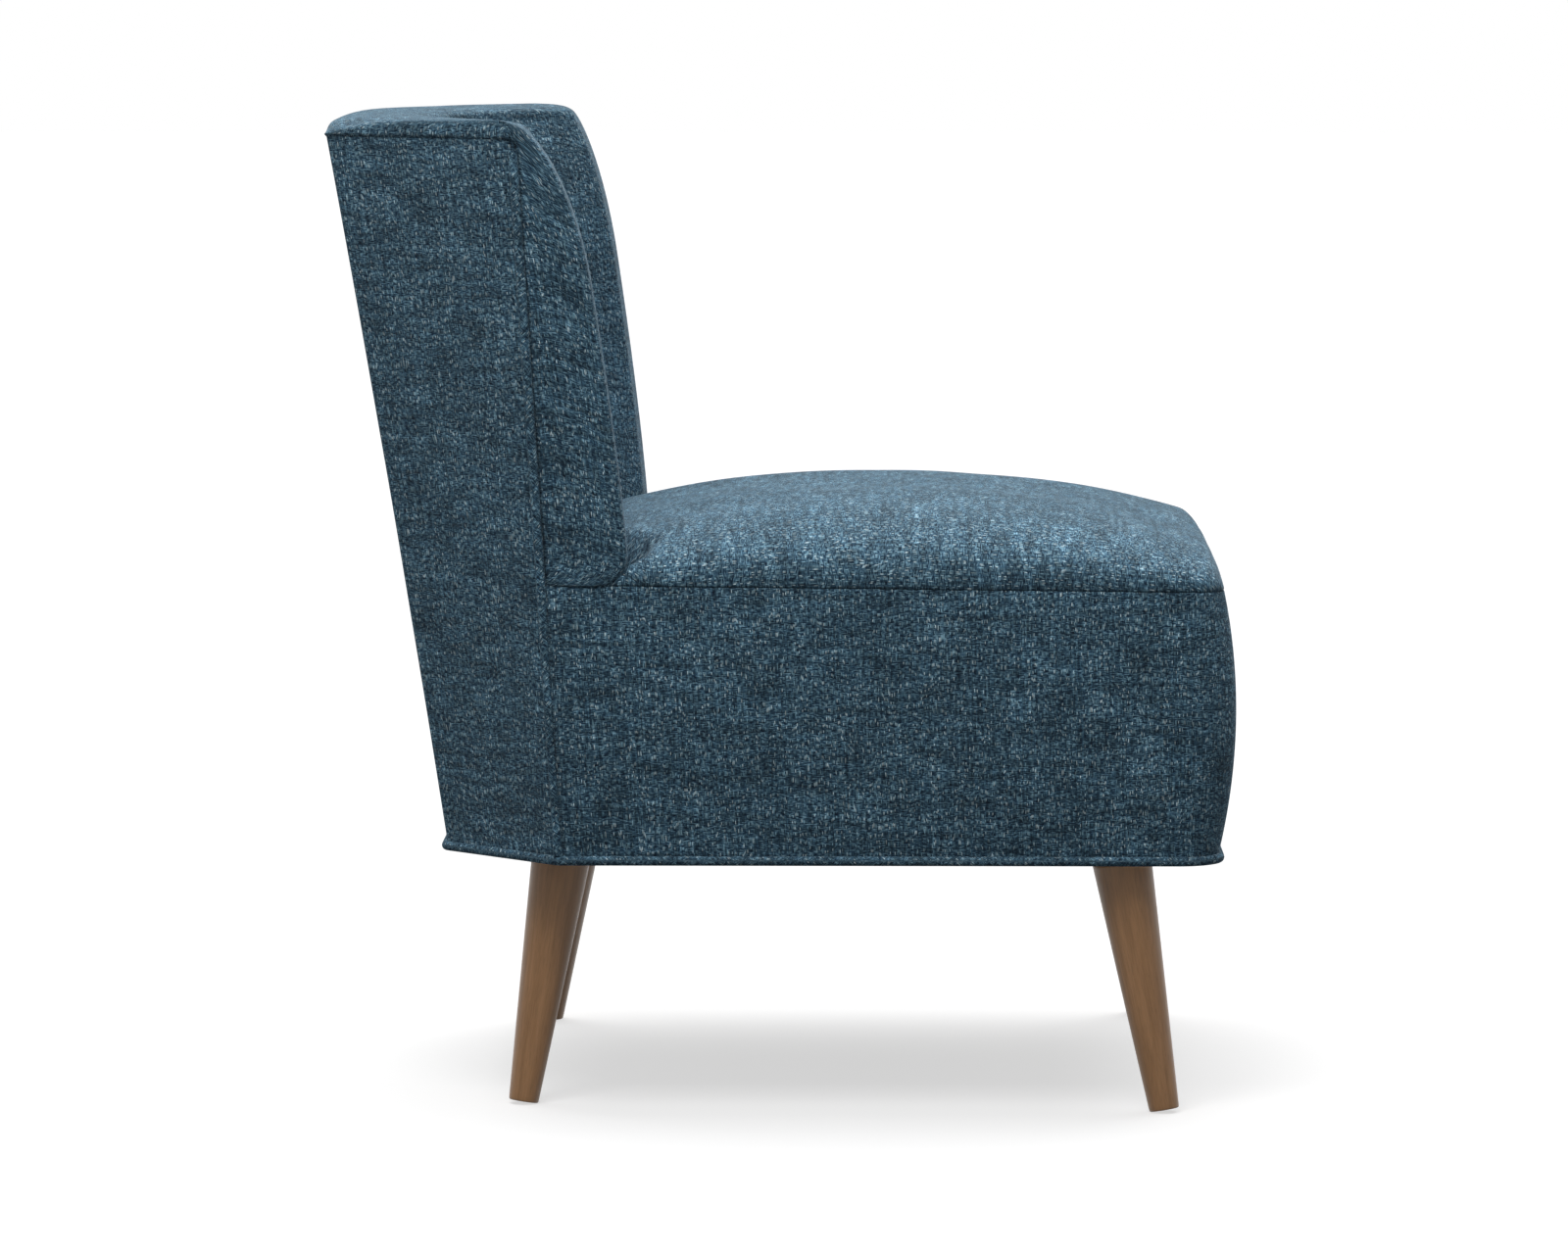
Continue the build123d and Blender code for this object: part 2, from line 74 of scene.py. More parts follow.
# Places taken from the frame
top_seam_lift = 4.0
base_cord_low, base_cord_high = node_box("base_welt")
wing_cord_low, wing_cord_high = node_box("left_wing_welt")
side_high = node_box("left_side_cover")[1]
rear_low, rear_high = node_box("outside_back_cover")
dust_low, dust_high = node_box("dust_cover")
cord_radius = (base_cord_high.z - base_cord_low.z) / 2
seam_half = wing_cord_high.x - cord_radius
base_height = base_cord_low.z
panel_top = side_high.z + top_seam_lift
rear_half = rear_high.x
top_z = cad_box[1][2] / MM
front_y = cad_box[0][1] / MM
cord_rise = wing_cord_high.z - wing_cord_low.z
seam_slope = (wing_cord_high.y - wing_cord_low.y - 2 * cord_radius) / cord_rise
cover_thickness = 2.0
rear_slope = (rear_high.y - rear_low.y - cover_thickness) / (rear_high.z - rear_low.z)

# Seams
seam_roll = 1.5
# Painted shade: how far it reaches from a seam, in front of the padded back, and where the top seam's shade
# fades out.
seam_shade = 2.5
back_shade = 36.0
top_seam_fade = 60.0
cord_sink = -1.5
cord_dip = 1.5
cord_corner_radius = 12.0
cord_step = 2.5
join_reach = 0.02

# Seat
seat_seam_front = 436.0
seat_seam_rear = 442.0
crown_top = 507.0
crown_y = -72.0
crown_front_fall = 42.0
crown_front_power = 2.4
crown_front_round = 19.0
crown_back_fall = 21.0
crown_back_run = 190.0
crown_plan_power = 3.4
crown_edge_power = 0.39
side_bulge = 5.0
front_bulge = 12.0
front_tuck = 4.0
front_corner_radius = 35.0
front_seam_y = front_y + front_bulge
seat_underside = 424.0
border_depth = 16.0
rail_wrap = 24.0
border_lining_drop = 4.0
border_steps = 60
border_lining_stride = 6
border_measured_row = 25
seat_rear_run = 40.0
seat_tuck_run = 10.0
seat_hidden_from = -26.0
seat_hidden_to = 16.0
seat_hidden_drop = 9.0
seat_lining_gap = 6.0
seat_rim_turns = (18, 36, 54, 72, 90)

# Back
back_foot = 441.0
back_inner_foot_y = 200.0
back_inner_top_y = 306.0
rim_half = 262.0
rim_foot_y = 124.0
rim_set_back = {1: 2.0, -1: 0.0}
rim_sweeps = {1: 48.0, -1: 52.0}
rim_sweep_power = 1.3
rim_corner_drop = 135.0
rim_corner_runs = {1: 27.0, -1: 49.0}
rim_foot_round = 27.0
rim_turn = 9.0
rim_round = 3.5
rim_slant = 2.0
wing_band_share = 0.5
wing_band_bulge = 2.0
band_dip = 1.5
roll_rise = top_z - panel_top
roll_bulge = 1.5
roll_turn = 86.0
ridge_end = 25.0
ridge_fullness = 2.4
corner_fullness = 0.7
corner_reach = 5
rear_points = 28
tip_reach = 10
pad_clearance = 5.0
rear_bow = 2.5
rim_narrowing = 0.3
rim_front_lead = 0.5
rim_front_reach = 10.0
band_crowding = 1.6
band_bulge_turn = 0.6
side_points = 26
band_points = 10
front_points = 12
turn_points = 7
arc_points = 27
wall_levels = 90
roll_levels = 16
side_puff = 2.0
rear_puff = 2.5
side_seed = 20
rear_seed = 31

# Unevenness of the pulled cloth: wave length, height and, where there is one such piece, seed
seat_wave = (130, 1.0, 11)
border_wave = (120, 0.8, 5)
panel_wave = (110, 0.9)

# Dust sheet
dust_sag = 2.0
staple_inset = 8.0
staple_gap = 0.3
staple_sizes = {"Spacing": 40, "Width": 10, "Wire": 0.9}

# Legs
leg_top_radius = 25.0
leg_foot_radius = 12.5
leg_foot_bevel = 1.5
leg_foot_sink = 0.6
leg_bevel_rings = 5
leg_rings = 40
leg_sides = 72

# Setting: places in metres for the lamps, in millimetres for the camera
overhead_strength = 2.4
overhead_spread = 60.0
overhead_way = (-0.5, 0.0, -1.0)
softbox_power = 34.0
softbox_size = 1.4
softbox_place = (-1.7, 0.5, 2.8)
softbox_aim = (0.0, 0.0, 0.7)
room_strength = 0.28
paper_glow = 0.6
camera_place = (-6517.5, -82.0, 981.6)
camera_aim = (-317.5, -3.5, 408.1)
camera_lens = 173.3


def seam_y(z):
    """The wing seam's place at a height."""
    return wing_cord_high.y - cord_radius - seam_slope * (wing_cord_high.z - z)


def rear_y(z):
    """The raked rear face's place at a height, drawn in a little half way up."""
    share = (panel_top - z) / (panel_top - base_height)
    return rear_high.y - rear_slope * (rear_high.z - z) - rear_bow * 4 * share * (1 - share)


def side_x(y, z):
    """The outer side at a height: upright in front of the wing seam, then straight to the rear corner."""
    slope = (seam_half - rear_half) / (rear_y(z) - seam_y(z))
    return seam_half - np.maximum(0.0, y - seam_y(z)) * slope


def smooth(low, high, value):
    """Rises smoothly from 0 to 1 as value goes from low to high."""
    share = np.clip((np.asarray(value, dtype=float) - low) / (high - low), 0.0, 1.0)
    return share * share * (3 - 2 * share)


def rolled(distance, radius):
    """How far a surface has turned in at a distance from its seam."""
    into = np.clip(radius - np.asarray(distance, dtype=float), 0, radius)
    return radius - np.sqrt(radius**2 - into**2)


def eased(count):
    """Steps from 0 to 1 that crowd at both ends."""
    return (1 - np.cos(np.linspace(0, math.pi, count))) / 2


def bezier(points, count):
    """Points along a cubic curve."""
    a, b, c, d = (np.array(p, dtype=float) for p in points)
    t = np.linspace(0, 1, count)[:, None]
    return a * (1 - t) ** 3 + 3 * b * t * (1 - t) ** 2 + 3 * c * t * t * (1 - t) + d * t**3


def ripple(points, size, height, seed):
    """Gentle unevenness of hand-pulled cloth, in millimetres, from a few fixed waves."""
    draw = np.random.default_rng(seed)
    total = np.zeros(points.shape[:-1])
    for _ in range(7):
        direction = draw.normal(size=3)
        direction /= np.linalg.norm(direction)
        phase = draw.uniform(0, 2 * math.pi)
        length = size * draw.uniform(0.7, 1.6)
        total += np.sin(points @ direction * (2 * math.pi / length) + phase)
    return total * (height / 4)


# Materials
def linear(code):
    """An sRGB hex colour as linear RGBA."""
    parts = [int(code[i:i + 2], 16) / 255 for i in (1, 3, 5)]
    return [c / 12.92 if c <= 0.04045 else ((c + 0.055) / 1.055) ** 2.4 for c in parts] + [1.0]


def add(tree, kind, links=None, stops=(), **settings):
    """Adds a node with its settings, its links or input values, and its colour stops."""
    node = tree.nodes.new(kind)
    for name, value in settings.items():
        setattr(node, name, value)
    for name, value in (links or {}).items():
        if isinstance(value, bpy.types.NodeSocket):
            tree.links.new(value, node.inputs[name])
        else:
            node.inputs[name].default_value = value
    for number, (place, code) in enumerate(stops):
        elements = node.color_ramp.elements
        element = elements[number] if number < 2 else elements.new(place)
        element.position = place
        element.color = linear(code)
    return node


def new_material(name):
    """An empty procedural material and its node tree."""
    material = bpy.data.materials.new(name)
    material.use_nodes = True
    material.node_tree.nodes.clear()
    return material, material.node_tree


def pattern(tree, place, size, detail, distortion=0.0):
    """A noise pattern of a real size in millimetres along each of two or three axes."""
    scale = [1 / (s * MM) for s in size] + [1.0] * (3 - len(size))
    laid = add(tree, "ShaderNodeMapping", {"Vector": place, "Scale": scale})
    return add(tree, "ShaderNodeTexNoise", {"Vector": laid.outputs[0], "Scale": 1.0, "Detail": detail,
                                            "Distortion": distortion}, noise_dimensions=f"{len(size)}D")


def chenille_tweed(name, turn):
    """Blue tweed of soft chenille: short pale floats in rows up the cloth, on a dark streaked ground,
    darkened by painted shade where the mesh marks seams and creases.

    Sizes are in millimetres across and along the yarn, matched to the speckle that the picture shows.
    """
    yarn = 1.0
    repeat = 6.1
    ground = (4.5, 0.95)
    slub = (1.5, 30)
    streak = (34, 5.5)
    cloud = (75, 30)
    row = (12, 40)
    row_rise = 3.0
    yarn_stagger = 0.38
    drift_size = 22
    wander_reach = (1.2, 2.4)
    float_relief = 0.5
    material, tree = new_material(name)
    weave = add(tree, "ShaderNodeUVMap", uv_map="weave")
    turned = add(tree, "ShaderNodeVectorRotate", {"Vector": weave.outputs[0], "Angle": turn},
                 rotation_type="Z_AXIS")
    drift = add(tree, "ShaderNodeTexNoise",
                {"Vector": turned.outputs[0], "Scale": 1 / (drift_size * MM), "Detail": 0.0},
                noise_dimensions="2D")
    wander = add(tree, "ShaderNodeVectorMath",
                 {0: drift.outputs["Color"], 1: (wander_reach[0] * MM, wander_reach[1] * MM, 0.0),
                  2: turned.outputs[0]}, operation="MULTIPLY_ADD")
    counted = add(tree, "ShaderNodeVectorMath",
                  {0: wander.outputs[0], 1: (1 / (yarn * MM), 1 / (repeat * MM), 0.0)}, operation="MULTIPLY")
    place = add(tree, "ShaderNodeSeparateXYZ", {"Vector": counted.outputs[0]})
    column = add(tree, "ShaderNodeMath", {0: place.outputs["X"]}, operation="FLOOR")
    yarn_draw = add(tree, "ShaderNodeTexWhiteNoise", {"W": column.outputs[0]}, noise_dimensions="1D")
    stepped = pattern(tree, turned.outputs[0], row, detail=1.0)
    level = add(tree, "ShaderNodeMath", {0: stepped.outputs[0], 1: row_rise, 2: place.outputs["Y"]},
                operation="MULTIPLY_ADD")
    along = add(tree, "ShaderNodeMath", {0: yarn_draw.outputs["Value"], 1: yarn_stagger,
                                         2: level.outputs[0]}, operation="MULTIPLY_ADD")
    number = add(tree, "ShaderNodeMath", {0: along.outputs[0]}, operation="FLOOR")
    float_number = add(tree, "ShaderNodeCombineXYZ", {"X": column.outputs[0], "Y": number.outputs[0]})
    float_draw = add(tree, "ShaderNodeTexWhiteNoise", {"Vector": float_number.outputs[0]},
                     noise_dimensions="2D")
    shown = []
    for way, low, high in ((place.outputs["X"], 0.06, 0.3), (along.outputs[0], 0.22, 0.4)):
        from_edge = add(tree, "ShaderNodeMath", {0: way, 1: 0.5}, operation="PINGPONG")
        shown.append(add(tree, "ShaderNodeMapRange", {"Value": from_edge.outputs[0], "From Min": low,
                                                      "From Max": high}, interpolation_type="SMOOTHSTEP"))
    raised = add(tree, "ShaderNodeMath", {0: shown[0].outputs[0], 1: shown[1].outputs[0]},
                 operation="MULTIPLY")
    float_colour = add(tree, "ShaderNodeValToRGB", {"Fac": float_draw.outputs["Value"]},
                       stops=((0.0, "#1c354a"), (1.0, "#e0f4fa"), (0.5, "#4a7086"), (0.8, "#93bdcf")))
    speckle = pattern(tree, wander.outputs[0], ground, detail=2.0)
    ground_colour = add(tree, "ShaderNodeValToRGB", {"Fac": speckle.outputs[0]},
                        stops=((0.32, "#0f2032"), (0.72, "#84aabd"), (0.5, "#3a5a70")))
    woven = add(tree, "ShaderNodeMix", {"Factor": raised.outputs[0], 6: ground_colour.outputs[0],
                                        7: float_colour.outputs[0]}, data_type="RGBA")
    # Painted shade: a value stored on the mesh near seams, creases and hidden linings darkens the cloth down
    # to 0.7. The slub, streak and cloud factors after it are the yarn's own uneven tone.
    painted_seam_shade = add(tree, "ShaderNodeAttribute", attribute_name="painted_seam_shade")
    painted_shade_and_tones = [add(tree, "ShaderNodeMapRange", {"Value": painted_seam_shade.outputs["Fac"], "To Min": 1.0, "To Max": 0.7})]
    for size, low, high in ((slub, 0.6, 1.4), (streak, 0.66, 1.34), (cloud, 0.82, 1.18)):
        uneven = pattern(tree, turned.outputs[0], size, detail=2.0)
        painted_shade_and_tones.append(add(tree, "ShaderNodeMapRange",
                          {"Value": uneven.outputs[0], "From Min": 0.3, "From Max": 0.7,
                           "To Min": low, "To Max": high}))
    depth = painted_shade_and_tones[0].outputs[0]
    for shade in painted_shade_and_tones[1:]:
        depth = add(tree, "ShaderNodeMath", {0: depth, 1: shade.outputs[0]}, operation="MULTIPLY").outputs[0]
    # The woven colour, times the painted seam shade and the yarn's tone.
    dye_and_painted_shade = add(tree, "ShaderNodeVectorMath", {0: woven.outputs[2], "Scale": depth}, operation="SCALE")
    bump = add(tree, "ShaderNodeBump", {"Height": raised.outputs[0], "Strength": 0.8,
                                        "Distance": float_relief * MM})
    cloth = add(tree, "ShaderNodeBsdfPrincipled",
                {"Base Color": dye_and_painted_shade.outputs[0], "Normal": bump.outputs[0], "Roughness": 0.92,
                 "Specular IOR Level": 0.2, "Sheen Weight": 0.3, "Sheen Roughness": 0.3,
                 "Sheen Tint": linear("#c8dcea")})
    add(tree, "ShaderNodeOutputMaterial", {"Surface": cloth.outputs[0]})
    return material


def stained_walnut():
    """Turned hardwood under a satin lacquer: brown with fine streaks up the leg and a soft shine."""
    streak = (7, 7, 150)
    pore = (0.9, 0.9, 18)
    material, tree = new_material("stained_walnut_satin_lacquer")
    grain = add(tree, "ShaderNodeAttribute", attribute_name="grain")
    streaks, pores = (pattern(tree, grain.outputs["Vector"], size, detail=3.0, distortion=0.6)
                      for size in (streak, pore))
    colour = add(tree, "ShaderNodeValToRGB", {"Fac": streaks.outputs[0]},
                 stops=((0.28, "#9a6e40"), (0.75, "#bb8c5e"), (0.5, "#ab7d50")))
    open_pores = add(tree, "ShaderNodeMapRange", {"Value": pores.outputs[0], "From Min": 0.3,
                                                  "From Max": 0.55, "To Min": 0.8, "To Max": 1.0})
    toned = add(tree, "ShaderNodeVectorMath", {0: colour.outputs[0], "Scale": open_pores.outputs[0]},
                operation="SCALE")
    bump = add(tree, "ShaderNodeBump", {"Height": pores.outputs[0], "Strength": 0.12,
                                        "Distance": 0.2 * MM})
    rough = add(tree, "ShaderNodeMapRange", {"Value": streaks.outputs[0], "To Min": 0.34, "To Max": 0.46})
    wood = add(tree, "ShaderNodeBsdfPrincipled",
               {"Base Color": toned.outputs[0], "Normal": bump.outputs[0],
                "Roughness": rough.outputs[0], "Coat Weight": 0.15, "Coat Roughness": 0.25})
    add(tree, "ShaderNodeOutputMaterial", {"Surface": wood.outputs[0]})
    return material


def two_toned(name, low, high, size, roughness, metallic=0.0):
    """A hidden or plain material: two tones in a pattern of a real size, which is its relief too."""
    relief = 0.1
    material, tree = new_material(name)
    place = add(tree, "ShaderNodeTexCoord")
    tones = pattern(tree, place.outputs["Object"], size, detail=3.0)
    colour = add(tree, "ShaderNodeValToRGB", {"Fac": tones.outputs[0]}, stops=((0.3, low), (0.7, high)))
    bump = add(tree, "ShaderNodeBump", {"Height": tones.outputs[0], "Strength": relief,
                                        "Distance": 0.3 * MM})
    plain = add(tree, "ShaderNodeBsdfPrincipled",
                {"Base Color": colour.outputs[0], "Normal": bump.outputs[0], "Roughness": roughness,
                 "Metallic": metallic})
    add(tree, "ShaderNodeOutputMaterial", {"Surface": plain.outputs[0]})
    return material


fabric = chenille_tweed("chenille_tweed", 0.0)
bias_fabric = chenille_tweed("chenille_tweed_on_the_bias", math.radians(45))
walnut = stained_walnut()
# Matt black felted film with a faint fleck
spunbond = two_toned("black_spunbond_polypropylene", "#0e0e10", "#1c1c20", (1.2, 1.2, 1.2), 0.85)
# Dull bright wire
wire = two_toned("galvanised_steel_wire", "#8f9296", "#b4b7ba", (2, 2, 2), 0.35, 1.0)
# What is inside: pale timber with long faint grain, ply with thin layers, coarse dark webbing, cream foam
# with fine cells, matted felt, mottled board, and steel with a soft grey shine
frame_finishes = {
    "frame_timber": two_toned("sawn_poplar", "#b59a6f", "#d2b98c", (90, 6, 6), 0.75),
    "plywood": two_toned("birch_plywood", "#b8945f", "#d9bd8d", (60, 8, 1.5), 0.7),
    "webbing": two_toned("elastic_webbing", "#3a2c22", "#7a6a55", (2, 2, 2), 0.85),
    "foam": two_toned("polyurethane_foam", "#d8cda4", "#eee6c6", (1.5, 1.5, 1.5), 0.95),
    "felt": two_toned("cotton_felt", "#a7a39a", "#d4d0c6", (4, 4, 2), 0.98),
    "panel_board": two_toned("brown_panel_board", "#8d7a60", "#a8957a", (5, 5, 5), 0.9),
    "plated_steel": two_toned("zinc_plated_steel", "#989a9c", "#c2c4c6", (3, 3, 0.8), 0.38, 1.0),
    "cover_fabric": two_toned("tweed_seen_only_inside", "#233646", "#4a6272", (1.7, 1.7, 5), 0.92),
    "dust_cloth": spunbond,
    "leg_wood": two_toned("walnut_seen_only_inside", "#5c4029", "#8a6749", (7, 7, 150), 0.4),
}


def dress_frame():
    """Gives each frame piece the finish of its material slot."""
    for part in frame["record"]["subparts"]:
        piece = frame["nodes"].get(part["node"])
        if piece is not None:
            piece.data.materials.clear()
            piece.data.materials.append(frame_finishes[part["material_slot"]])


# Sewing
def finish(mesh, name, material, slot, *nodes):
    """Makes a mesh into a named piece of the chair that stands for its frame nodes."""
    mesh.materials.clear()
    mesh.materials.append(material)
    piece = bpy.data.objects.new(name, mesh)
    bpy.context.scene.collection.objects.link(piece)
    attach(piece, "root")
    if nodes:
        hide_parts(*nodes)
    return piece


def sew(name, grids):
    """One closed mesh from grids of points that share edges, each with its cloth and its painted seam shade,
    stored on the points.
    """
    bm = bmesh.new()
    weave = bm.loops.layers.uv.new("weave")
    # Painted shade per point, which the cloth material turns into darker colour at seams and creases.
    painted_seam_shade = bm.verts.layers.float.new("painted_seam_shade")
    for points, cloth, shade in grids:
        knots = [[bm.verts.new(Vector(p) * MM) for p in row] for row in points]
        for row, row_shade in zip(knots, shade):
            for knot, depth in zip(row, row_shade):
                knot[painted_seam_shade] = depth
        for r in range(len(knots) - 1):
            for c in range(len(knots[0]) - 1):
                corners = ((r, c), (r, c + 1), (r + 1, c + 1), (r + 1, c))
                face = bm.faces.new([knots[i][j] for i, j in corners])
                face.smooth = True
                for loop, (i, j) in zip(face.loops, corners):
                    loop[weave].uv = Vector(cloth[i][j]) * MM
    bmesh.ops.remove_doubles(bm, verts=bm.verts, dist=join_reach * MM)
    bmesh.ops.dissolve_degenerate(bm, edges=bm.edges, dist=join_reach * MM)
    open_edges = [edge for edge in bm.edges if edge.is_boundary]
    bmesh.ops.holes_fill(bm, edges=open_edges, sides=0)
    bmesh.ops.recalc_face_normals(bm, faces=bm.faces)
    mesh = bpy.data.meshes.new(name)
    bm.to_mesh(mesh)
    bm.free()
    return mesh


def shaded(distance, start=0.0):
    """How deep in a seam's painted shade a point is, from its distance to the seam."""
    return 1 - smooth(start, start + seam_shade, distance)


def edge_loop(grid):
    """The closed line of points round a grid."""
    return np.concatenate([grid[:, 0], grid[-1, 1:], grid[-2::-1, -1], grid[0, -2::-1]])


def lined(outer, inner, cloth, shade, turns=()):
    """A face and its lining, joined round the edge by rings given as (share inward, drop), which get full
    painted shade.
    """
    face_edge, lining_edge, cloth_edge = edge_loop(outer), edge_loop(inner), edge_loop(cloth)
    rings = [face_edge]
    for share, drop in turns:
        ring = face_edge.copy()
        ring[:, :2] += (lining_edge - face_edge)[:, :2] * share
        ring[:, 2] -= drop
        rings.append(ring)
    rings.append(lining_edge)
    rim = np.array(rings)
    # Painted shade: full on the turned rim, and the face's own seam shade on its edge row.
    dark = np.ones(rim.shape[:2])
    dark[0] = edge_loop(shade)
    return [(outer, cloth, shade), (inner, cloth, shade), (rim, np.array([cloth_edge] * len(rim)), dark)]


def run_lengths(points):
    """Distance along each row of a grid of points."""
    steps = np.linalg.norm(np.diff(points, axis=1), axis=2)
    return np.concatenate([np.zeros((len(points), 1)), np.cumsum(steps, axis=1)], axis=1)


# Seat
def seat_seam_z(y):
    """Height of the seat's side seam, which falls a little towards the front."""
    run = seam_y(back_foot) - front_seam_y
    share = np.clip((np.asarray(y, dtype=float) - front_seam_y) / run, 0, 1)
    return seat_seam_front + (seat_seam_rear - seat_seam_front) * share


def seat_half(y):
    """Half width of the seat's plan, with rounded front corners."""
    into = np.clip(front_seam_y + front_corner_radius - np.asarray(y, dtype=float), 0, front_corner_radius)
    return seam_half - front_corner_radius + np.sqrt(front_corner_radius**2 - into**2)


def crown_z(y):
    """Height of the seat along its middle."""
    y = np.asarray(y, dtype=float)
    ahead = np.clip((crown_y - y) / (crown_y - front_seam_y), 0, 1)
    behind = np.clip((y - crown_y) / crown_back_run, 0, None)
    fall = crown_front_fall * ahead**crown_front_power + crown_back_fall * behind**2
    into = np.clip(1 - (y - front_seam_y) / crown_front_round, 0, 1)
    roll = crown_top - crown_front_fall - seat_seam_front
    return crown_top - fall - roll * (1 - np.sqrt(1 - into**2))


def across_crown(share):
    """How much of the crown's rise is left at a share of the half width."""
    return np.clip(1 - np.abs(share) ** crown_plan_power, 0, 1) ** crown_edge_power


def back_front_y(x):
    """Plan line where the padded back stands on the seat."""
    sag = back_inner_foot_y - rim_foot_y
    radius = (rim_half**2 + sag**2) / (2 * sag)
    reach = np.minimum(np.abs(x), rim_half)
    inner = back_inner_foot_y - radius + np.sqrt(radius**2 - reach**2)
    out = np.clip((np.abs(x) - rim_half) / (seam_half - rim_half), 0, 1)
    return inner + (seam_y(back_foot) - rim_foot_y) * wing_band_share * out**3


def make_seat_cushion():
    """The crowned seat top, sewn to the border's seam and running in under the back."""
    rows, columns = 150, 121
    rear = seam_y(back_foot) + seat_rear_run
    y = rear + (front_seam_y - rear) * np.sin(np.linspace(0, math.pi / 2, rows))
    s = np.sin(np.linspace(-math.pi / 2, math.pi / 2, columns))
    grid_y, grid_s = np.meshgrid(y, s, indexing="ij")
    tucked = pad_clearance * smooth(seam_y(back_foot) - seat_tuck_run, seam_y(back_foot), grid_y)
    half = np.minimum(seat_half(grid_y), side_x(grid_y, back_foot) - tucked)
    x = grid_s * half
    seam = seat_seam_z(grid_y) + seam_roll
    crown = across_crown(grid_s)
    z = seam + (crown_z(grid_y) - seam) * crown
    to_back = grid_y - back_front_y(x)
    hidden = smooth(seat_hidden_from, seat_hidden_to, to_back)
    z += (back_foot - seat_hidden_drop - z) * hidden
    top = np.stack([x, grid_y, z], axis=2)
    top[..., 2] += ripple(top, *seat_wave) * crown * (1 - hidden)
    under = top.copy()
    under[..., 0] *= (half - seam_roll) / half
    under[..., 1] = np.maximum(under[..., 1], front_seam_y + seam_roll)
    under[..., 2] = np.minimum(seat_underside, z - seat_lining_gap)
    across = run_lengths(top)
    along = run_lengths(top.transpose(1, 0, 2)).T
    middle = columns // 2
    cloth = np.stack([across - across[:, middle:middle + 1],
                      np.repeat(along[:, middle:middle + 1], columns, axis=1)], axis=2)
    to_seam = np.minimum(np.minimum(across, across[:, -1:] - across), along[-1] - along)
    # Painted shade along the seams, and painted shadow over the seat where it runs in under the padded back.
    shade = np.maximum(shaded(to_seam), smooth(-back_shade, 0, to_back))
    turns = [(1 - math.cos(turn), seam_roll * math.sin(turn)) for turn in np.radians(seat_rim_turns)]
    mesh = sew("seat_cushion", lined(top, under, cloth, shade, turns))
    piece = finish(mesh, "seat_cushion", fabric, "cover_fabric", "seat_top_cover", "seat_foam")


def border_column(run):
    """Plan of the border at a run: 0 at the wing seam, 1 to 2 round the front corner, 3 at the middle."""
    front_half = seam_half - front_corner_radius
    corner_y = front_seam_y + front_corner_radius
    turn = math.pi / 2 * min(max(run - 1, 0), 1)
    out = np.array([math.cos(turn), -math.sin(turn)])
    x = front_half * (1 - max(run - 2, 0)) + front_corner_radius * out[0]
    y = corner_y + front_corner_radius * out[1]
    return x, y, out


def border_strip(run):
    """Points up the border's face, down its lining and back under the rail at a run, and their painted shade.
    """
    x, y, out = border_column(run)
    heights = eased(border_steps)
    foot = base_height + cord_radius
    top = float(seat_seam_z(y if run > 1 else seam_y(back_foot) + (y - seam_y(back_foot)) * run))
    z = foot + (top - foot) * heights
    start_y = seam_y(z) - cord_radius + 1
    along_y = start_y + (y - start_y) * min(run, 1)
    bulge = side_bulge + (front_bulge - side_bulge) * -out[1]
    swell = bulge * (1 - (2 * heights - 1) ** 2) - rolled(top - z, seam_roll)
    swell -= front_tuck * -out[1] * (1 - heights) ** 1.5
    face = np.column_stack([x + out[0] * swell, along_y + out[1] * swell, z])
    inward = -np.array([out[0], out[1], 0])
    lining = face[::-border_lining_stride] + inward * border_depth
    lining[0, 2] -= border_lining_drop
    under_rail = face[:1] + inward * rail_wrap
    lining = np.concatenate([lining, under_rail])
    to_cord = np.minimum(z - foot, np.abs(along_y - seam_y(z)) if run < 1 else np.inf)
    # Painted shade under the top seam and above the base cord; the lining and its return get full painted
    # shade.
    shade = np.maximum(shaded(top - z), shaded(to_cord, cord_radius))
    return np.concatenate([face, lining, face[:1]]), np.concatenate([shade, np.ones(len(lining) + 1)])


def make_seat_border():
    """The bowed strip round the front and sides of the seat."""
    runs = np.concatenate([np.linspace(0, 1, 90), np.linspace(1, 2, 16)[1:], np.linspace(2, 3, 70)[1:]])
    strips = [border_strip(run) for run in runs]
    left = np.array([points for points, _ in strips])
    shade = np.array([dark for _, dark in strips])
    right = left[-2::-1] * np.array([-1, 1, 1])
    band = np.concatenate([left, right])
    shade = np.concatenate([shade, shade[-2::-1]])
    length = run_lengths(band[:, border_measured_row][None])[0]
    cloth = np.stack([np.repeat(length[:, None], band.shape[1], axis=1), band[..., 2]], axis=2)
    wave = ripple(band, *border_wave)
    band[..., 0] += wave * np.sign(band[..., 0]) * np.minimum(1, np.abs(band[..., 0]) / seam_half) ** 8
    mesh = sew("seat_border", [(band, cloth, shade)])
    piece = finish(mesh, "seat_border", fabric, "cover_fabric", "seat_border_cover", "border_padding")


# Back
def rim_y(z, side):
    """Front of a wing at a height, where it turns into the inside back."""
    rise = max(0.0, (z - back_foot) / (panel_top - back_foot))
    above = min(max(0.0, z - (top_z - rim_corner_drop)) / rim_corner_drop, 1.0)
    below = min(max(0.0, back_foot + rim_foot_round - z) / rim_foot_round, 1.0)
    retreat = rim_corner_runs[side] * (1 - math.sqrt(1 - above**2))
    retreat += rim_foot_round * (1 - math.sqrt(1 - below**2))
    return rim_foot_y + rim_set_back[side] + rim_sweeps[side] * rise**rim_sweep_power + retreat


